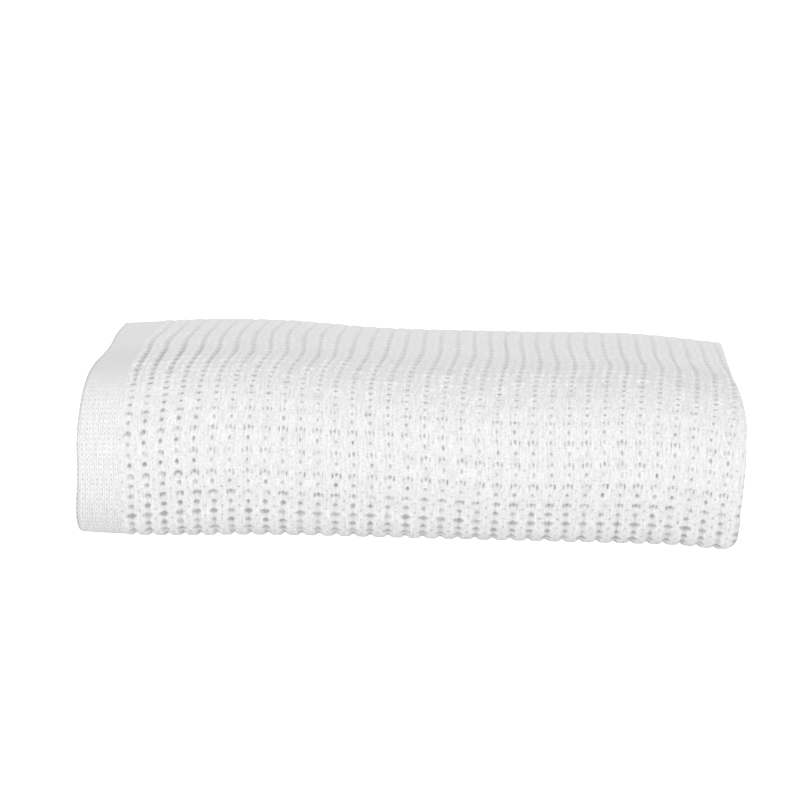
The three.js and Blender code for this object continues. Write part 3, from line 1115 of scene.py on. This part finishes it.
def recessed_lift(cloth, across, along):
    """Lift of the plain outer face, sunk where a cover lies over it."""
    under = cloth.pile.ply_thickness / 2 - COVER_DEPTH
    return np.where(covered(cloth, across, along), under, plain_lift(cloth, across, along))


def base_rows(cloth, start, stop):
    """Ways along that follow the path: closer in its bends than on its straight runs."""
    rows = [start]
    last_turned = path_at(cloth.path, "turned", start)
    for along, turned in zip(cloth.path.along, cloth.path.turned):
        gap = along - rows[-1]
        needed = gap > BASE_STEP or abs(turned - last_turned) > BASE_TURN
        if start < along < stop - SHORTEST_STEP and needed:
            step = BASE_STEP if gap > LONGEST_STEP else gap
            rows.extend(steps_between(rows[-1], along, step)[1:])
            last_turned = turned
    rows.extend(steps_between(rows[-1], stop, BASE_STEP)[1:])
    return np.array(rows)


def half_columns(cloth):
    """Distances from the border for the plain parts of the cloth, up to the cover of the fold edge."""
    stop = cloth.half - FOLD_EDGE_REACH - SINK_ACROSS
    return np.concatenate([PLAIN_EDGE, np.linspace(PLAIN_EDGE[-1] + SINK_ACROSS, stop, PLAIN_COLUMNS)])


class RUNNER_OT_sheet(bpy.types.Operator):
    """Builds the folded cloth inside the pile, with both plies of every fold but the outermost"""

    bl_idname = "runner.sheet"
    bl_label = "Folded cloth"

    def execute(self, context):
        cloth = Cloth(context.scene)
        stop = cloth.outer_start - OUTER_LAP
        rows = [base_rows(cloth, 0, stop)]
        for start, end, _ in back_turn_spans(cloth):
            rows.append([start - SINK_ALONG, start + JUST_INSIDE, end - JUST_INSIDE, end + SINK_ALONG])
        rows = np.unique(np.concatenate(rows))
        side = cloth.half - half_columns(cloth)
        fold = np.linspace(-FOLD_EDGE_REACH, FOLD_EDGE_REACH, PLAIN_COLUMNS)
        across = np.concatenate([-side, fold, side[::-1]])

        piece = cloth_shell(cloth, "folded_sheet", across, rows, recessed_lift, back_lift)
        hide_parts(CLOTH_NODE)
        return {"FINISHED"}


class RUNNER_OT_inner_ply(bpy.types.Operator):
    """Builds the ply under the outermost face"""

    bl_idname = "runner.inner_ply"
    bl_label = "Inner ply"

    def execute(self, context):
        cloth = Cloth(context.scene)
        rows = base_rows(cloth, cloth.outer_start - OUTER_LAP, cloth.end)
        across = np.append(half_columns(cloth) - cloth.half, -FOLD_EDGE_REACH)
        cloth_shell(cloth, "inner_ply", across, rows, plain_lift, back_lift)
        return {"FINISHED"}


class RUNNER_OT_outer_face(bpy.types.Operator):
    """Builds the outermost ply with its weave, in strips that meet in troughs between ribs"""

    bl_idname = "runner.outer_face"
    bl_label = "Outer face"

    def execute(self, context):
        cloth = Cloth(context.scene)
        pitch = cloth.weave.row_pitch
        start = cloth.outer_start
        rows = joined(
            steps_between(start - OUTER_LAP, start + FRONT_START, step=pitch / 6),
            steps_between(start + FRONT_START, start + FRONT_STOP, step=pitch / 12),
            steps_between(start + FRONT_STOP, cloth.end, step=pitch / 2),
        )
        marks = np.round(np.linspace(0, LAST_TROUGH, OUTER_STRIPS + 1)).astype(int)
        for number, (first, last) in enumerate(zip(marks[:-1], marks[1:])):
            border = rib_columns(cloth, first, last, per_rib=22, crowding=0.35)
            if number == 0:
                band = steps_between(WOVEN_EDGE[-1], border[0], step=0.5 * MM)
                border = joined(WOVEN_EDGE, band, border)
            across = cloth.half - border
            every = 11
            if number == OUTER_STRIPS - 1:
                across = joined(across, -steps_between(-across[-1], FOLD_EDGE_REACH, step=0.35 * MM))
                every = 4
            cloth_shell(cloth, f"outer_face_{number + 1}", across[::-1], rows, face_lift, back_lift, every)
        return {"FINISHED"}


class RUNNER_OT_back_turns(bpy.types.Operator):
    """Builds the woven faces of the turns that show at the back"""

    bl_idname = "runner.back_turns"
    bl_label = "Back turns"

    def execute(self, context):
        cloth = Cloth(context.scene)
        ribs = rib_columns(cloth, 0, LAST_TROUGH - 1, per_rib=10, crowding=0.3)
        border = joined(
            steps_between(BORDER_KEPT, ribs[0], step=1.5 * MM),
            ribs,
            steps_between(ribs[-1], cloth.half - FOLD_EDGE_REACH, step=0.9 * MM),
        )

        for number, (start, stop, side) in enumerate(back_turn_spans(cloth), 1):
            across = np.sort(side * (cloth.half - border))
            rows = steps_between(start, stop, step=cloth.weave.row_pitch / 5)
            cloth_shell(cloth, f"back_turn_{number}", across, rows, face_lift, cover_back, every=5)
        return {"FINISHED"}


class RUNNER_OT_fold_edge(bpy.types.Operator):
    """Builds the woven edge of the lengthwise fold, layer after layer"""

    bl_idname = "runner.fold_edge"
    bl_label = "Fold edge"

    def execute(self, context):
        cloth = Cloth(context.scene)
        across = steps_between(-FOLD_EDGE_REACH, FOLD_EDGE_REACH, step=0.75 * MM)
        rows = steps_between(0, cloth.outer_start - OUTER_LAP, step=cloth.weave.row_pitch / 6)
        cloth_shell(cloth, "fold_edge", across, rows, face_lift, cover_back, every=3)
        return {"FINISHED"}


class RUNNER_OT_declare(bpy.types.Operator):
    """Says which pieces make up the sheet, and the size that it was cut to"""
    # Finishes without changing anything

    bl_idname = "runner.declare"
    bl_label = "Declare the sheet"

    def execute(self, context):
        return {"FINISHED"}


class RUNNER_OT_stage(bpy.types.Operator):
    """Sets the floor, the lights and the camera"""

    bl_idname = "runner.stage"
    bl_label = "Stage"

    def execute(self, context):
        scene = context.scene
        stage = scene.runner_stage
        scene.view_settings.view_transform = "Standard"

        half = 6.0
        corners = [(-half, -half, 0), (half, -half, 0), (half, half, 0), (-half, half, 0)]
        mesh = bpy.data.meshes.new("floor")
        mesh.from_pydata(corners, [], [(0, 1, 2, 3)])
        mesh.materials.append(light_table_material(stage))
        floor = bpy.data.objects.new("floor", mesh)
        scene.collection.objects.link(floor)

        world = bpy.data.worlds.new("Studio")
        world.use_nodes = True
        background = world.node_tree.nodes["Background"]
        background.inputs["Color"].default_value = (1, 1, 1, 1)
        white_to_camera(world.node_tree, stage.room_light, background.inputs["Strength"])
        scene.world = world

        front = bpy.data.lights.new("front_light", "AREA")
        front.shape = "RECTANGLE"
        front.size = 1.6
        front.size_y = 0.8
        front.energy = stage.front_light
        softbox = bpy.data.objects.new("front_light", front)
        softbox.location = (0, -1.5, 0.75)
        softbox.rotation_euler = Euler((np.radians(66), 0, 0))
        scene.collection.objects.link(softbox)

        camera = bpy.data.cameras.new("camera")
        camera.lens = stage.lens
        camera.sensor_width = 36
        view = bpy.data.objects.new("camera", camera)
        view.location = stage.camera_place
        view.rotation_euler = Euler((np.pi / 2 - stage.camera_elevation, 0, stage.camera_turn))
        scene.collection.objects.link(view)
        scene.camera = view
        return {"FINISHED"}


class RUNNER_PT_panel(bpy.types.Panel):
    """Lists the steps and sizes in the 3D view's sidebar"""

    bl_idname = "RUNNER_PT_panel"
    bl_label = "Bed runner"
    bl_space_type = "VIEW_3D"
    bl_region_type = "UI"
    bl_category = "Bed runner"

    def draw(self, context):
        for step in STEPS:
            self.layout.operator(step.bl_idname)
        for name, group in PROPERTIES.items():
            box = self.layout.box()
            for size in group.__annotations__:
                box.prop(getattr(context.scene, name), size)


PROPERTIES = {
    "runner_pile": RunnerPile,
    "runner_weave": RunnerWeave,
    "runner_finish": RunnerFinish,
    "runner_stage": RunnerStage,
}
STEPS = [
    RUNNER_OT_stage,
    RUNNER_OT_sheet,
    RUNNER_OT_inner_ply,
    RUNNER_OT_outer_face,
    RUNNER_OT_back_turns,
    RUNNER_OT_fold_edge,
    RUNNER_OT_declare,
]


def register():
    for kind in [*PROPERTIES.values(), *STEPS, RUNNER_PT_panel]:
        bpy.utils.register_class(kind)
    for name, group in PROPERTIES.items():
        setattr(bpy.types.Scene, name, bpy.props.PointerProperty(type=group))


def unregister():
    for name in PROPERTIES:
        delattr(bpy.types.Scene, name)
    for kind in reversed([*PROPERTIES.values(), *STEPS, RUNNER_PT_panel]):
        bpy.utils.unregister_class(kind)


def main():
    register()
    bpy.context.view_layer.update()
    bpy.ops.runner.stage()
    bpy.ops.runner.sheet()
    bpy.ops.runner.inner_ply()
    bpy.ops.runner.outer_face()
    bpy.ops.runner.back_turns()
    bpy.ops.runner.fold_edge()
    bpy.ops.runner.declare()


if __name__ == "__main__":
    main()
